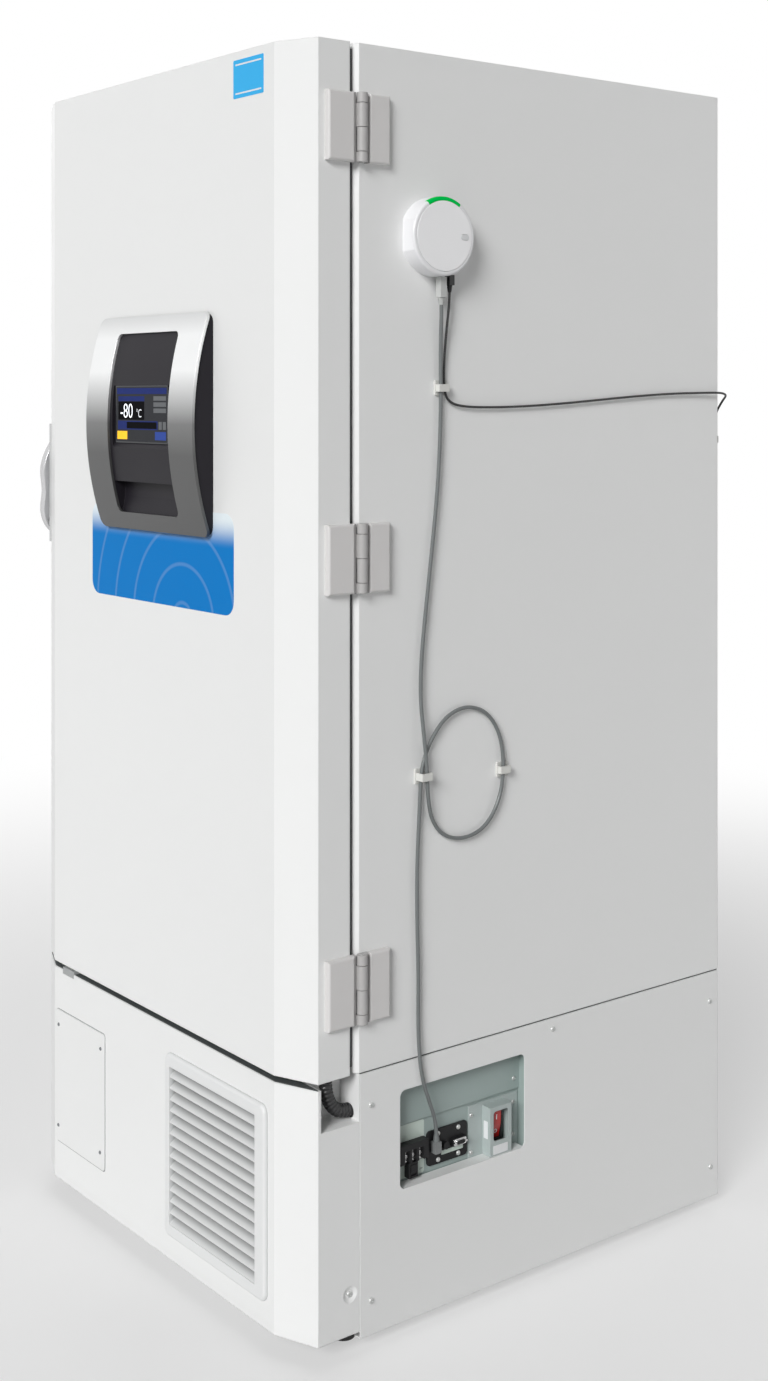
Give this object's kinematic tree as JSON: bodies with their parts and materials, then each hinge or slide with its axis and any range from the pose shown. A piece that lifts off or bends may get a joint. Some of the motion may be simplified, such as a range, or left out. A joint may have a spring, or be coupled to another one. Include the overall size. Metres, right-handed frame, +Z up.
{
  "type": "ultra low temperature freezer",
  "caption": "Upright laboratory freezer with a bow-front insulated door, curved display, louvred base, service recess, inner doors and a clipped side monitor",
  "frame": {"origin": "on the floor below the middle of the freezer", "axes": "+X to the right seen from the front, -Y out of the front of the door, +Z up"},
  "size_m": [0.9182, 1.0615, 1.99],
  "materials": {
    "cabinet_white": "satin",
    "foam": "matte",
    "strip_plastic": "satin",
    "liner_steel": "satin",
    "copper": "polished",
    "rack_steel": "satin",
    "inner_door_white": "satin",
    "hinge_grey": "satin",
    "pin_steel": "polished",
    "gasket_rubber": "matte",
    "housing_dark": "satin",
    "bezel_silver": "satin",
    "screen_glass": "gloss",
    "handle_white": "satin",
    "lever_grey": "satin",
    "lock_chrome": "polished",
    "catch_grey": "satin",
    "grille_grey": "satin",
    "filter_mesh": "matte",
    "recess_grey": "satin",
    "connector_black": "satin",
    "terminal_green": "satin",
    "guard_grey": "satin",
    "rocker_red": "gloss",
    "rocker_black": "gloss",
    "compressor_black": "satin",
    "fin_aluminium": "satin",
    "motor_grey": "satin",
    "fan_black": "matte",
    "frame_zinc": "satin",
    "wheel_rubber": "matte",
    "foot_rubber": "matte",
    "monitor_white": "satin",
    "cover_white": "gloss",
    "cable_grey": "satin",
    "lead_black": "satin",
    "clip_white": "satin",
    "plug_grey": "satin",
    "conduit_black": "satin"
  },
  "bodies": {
    "cabinet": {"cabinet_shell": "cabinet_white", "cabinet_foam": "foam", "breaker_strips": "strip_plastic", "inner_liner": "liner_steel", "evaporator_and_exchanger": "copper", "shelf_rack": "rack_steel", "base_frame": "frame_zinc", "front_panel": "cabinet_white", "recorder_cover_plate": "cabinet_white", "front_grille": "grille_grey", "dust_filter": "filter_mesh", "right_side_panel": "cabinet_white", "left_side_panel": "cabinet_white", "rear_panel": "cabinet_white", "control_box": "recess_grey", "connector_plate": "connector_black", "alarm_terminal_block": "terminal_green", "breaker_guard": "guard_grey", "switch_bodies": "connector_black", "compressors": "compressor_black", "condenser": "fin_aluminium", "fan_motor": "motor_grey", "cabinet_hinge_leaves": "hinge_grey", "hinge_pins": "pin_steel", "monitor_housing": "monitor_white", "monitor_cover": "cover_white", "cable_clips": "clip_white", "sensor_cable": "cable_grey", "cable_plugs": "plug_grey", "power_lead": "lead_black", "power_lead_coil": "lead_black", "power_adaptor": "lead_black", "door_conduit": "conduit_black", "rear_spacers": "cabinet_white", "door_catches": "catch_grey"},
    "door": {"door_skin": "cabinet_white", "door_foam": "foam", "door_liner": "inner_door_white", "door_gasket": "gasket_rubber", "display_housing": "housing_dark", "display_bezel": "bezel_silver", "display_screen": "screen_glass", "door_hinge_leaves": "hinge_grey", "handle_mount": "handle_white"},
    "handle_lever": {"handle_lever": "lever_grey"},
    "key_lock": {"key_lock": "lock_chrome"},
    "inner_door_upper": {"inner_door_upper": "inner_door_white"},
    "inner_door_lower": {"inner_door_lower": "inner_door_white"},
    "breaker_rocker": {"breaker_rocker": "rocker_red"},
    "battery_rocker": {"battery_rocker": "rocker_black"},
    "fan": {"fan": "fan_black"},
    "caster_fork_left": {"caster_fork_left": "frame_zinc"},
    "caster_fork_right": {"caster_fork_right": "frame_zinc"},
    "front_wheel_left": {"front_wheel_left": "wheel_rubber"},
    "front_wheel_right": {"front_wheel_right": "wheel_rubber"},
    "rear_wheel_left": {"rear_wheel_left": "wheel_rubber"},
    "rear_wheel_right": {"rear_wheel_right": "wheel_rubber"},
    "levelling_foot_left": {"levelling_foot_left": "foot_rubber"},
    "levelling_foot_right": {"levelling_foot_right": "foot_rubber"},
    "monitor_button": {"monitor_button": "cover_white"}
  },
  "joints": [
    {"name": "door_hinge", "type": "hinge", "parent": "cabinet", "child": "door", "pos_m": [0.4341, -0.352, 1.207], "axis": [0, 0, 1], "range_deg": [0, 110]},
    {"name": "handle_pivot", "type": "hinge", "parent": "door", "child": "handle_lever", "pos_m": [-0.45, -0.3846, 1.292], "axis": [0, 0, -1], "range_deg": [0, 35]},
    {"name": "key_turn", "type": "hinge", "parent": "door", "child": "key_lock", "pos_m": [-0.437, -0.4096, 1.24], "axis": [-1, 0, 0], "range_deg": [0, 90]},
    {"name": "inner_door_upper_hinge", "type": "hinge", "parent": "cabinet", "child": "inner_door_upper", "pos_m": [0.323, -0.34, 1.55], "axis": [0, 0, 1], "range_deg": [0, 88]},
    {"name": "inner_door_lower_hinge", "type": "hinge", "parent": "cabinet", "child": "inner_door_lower", "pos_m": [0.323, -0.34, 0.86], "axis": [0, 0, 1], "range_deg": [0, 88]},
    {"name": "breaker_rocker_pivot", "type": "hinge", "parent": "cabinet", "child": "breaker_rocker", "pos_m": [0.41, -0.0635, 0.272], "axis": [0, -1, 0], "range_deg": [0, 16]},
    {"name": "battery_rocker_pivot", "type": "hinge", "parent": "cabinet", "child": "battery_rocker", "pos_m": [0.41, -0.235, 0.242], "axis": [0, -1, 0], "range_deg": [0, 16]},
    {"name": "fan_spin", "type": "hinge", "parent": "cabinet", "child": "fan", "pos_m": [0.1725, -0.355, 0.225], "axis": [0, 1, 0], "continuous": true},
    {"name": "caster_swivel_left", "type": "hinge", "parent": "cabinet", "child": "caster_fork_left", "pos_m": [-0.29, -0.34, 0.07], "axis": [0, 0, 1], "continuous": true},
    {"name": "front_wheel_roll_left", "type": "hinge", "parent": "caster_fork_left", "child": "front_wheel_left", "pos_m": [-0.29, -0.32, 0.033], "axis": [1, 0, 0], "continuous": true},
    {"name": "rear_wheel_roll_left", "type": "hinge", "parent": "cabinet", "child": "rear_wheel_left", "pos_m": [-0.29, 0.38, 0.03], "axis": [1, 0, 0], "continuous": true},
    {"name": "foot_screw_left", "type": "slide", "parent": "cabinet", "child": "levelling_foot_left", "axis": [0, 0, -1], "range_m": [0, 0.012]},
    {"name": "caster_swivel_right", "type": "hinge", "parent": "cabinet", "child": "caster_fork_right", "pos_m": [0.29, -0.34, 0.07], "axis": [0, 0, 1], "continuous": true},
    {"name": "front_wheel_roll_right", "type": "hinge", "parent": "caster_fork_right", "child": "front_wheel_right", "pos_m": [0.29, -0.32, 0.033], "axis": [1, 0, 0], "continuous": true},
    {"name": "rear_wheel_roll_right", "type": "hinge", "parent": "cabinet", "child": "rear_wheel_right", "pos_m": [0.29, 0.38, 0.03], "axis": [1, 0, 0], "continuous": true},
    {"name": "foot_screw_right", "type": "slide", "parent": "cabinet", "child": "levelling_foot_right", "axis": [0, 0, -1], "range_m": [0, 0.012]},
    {"name": "monitor_button_press", "type": "slide", "parent": "cabinet", "child": "monitor_button", "axis": [-1, 0, 0], "range_m": [0, 0.0006]}
  ],
  "couplings": [
    {"joint": "inner_door_upper_hinge", "follows": "door_hinge", "ratio": 0.8},
    {"joint": "inner_door_lower_hinge", "follows": "door_hinge", "ratio": 0.8}
  ]
}
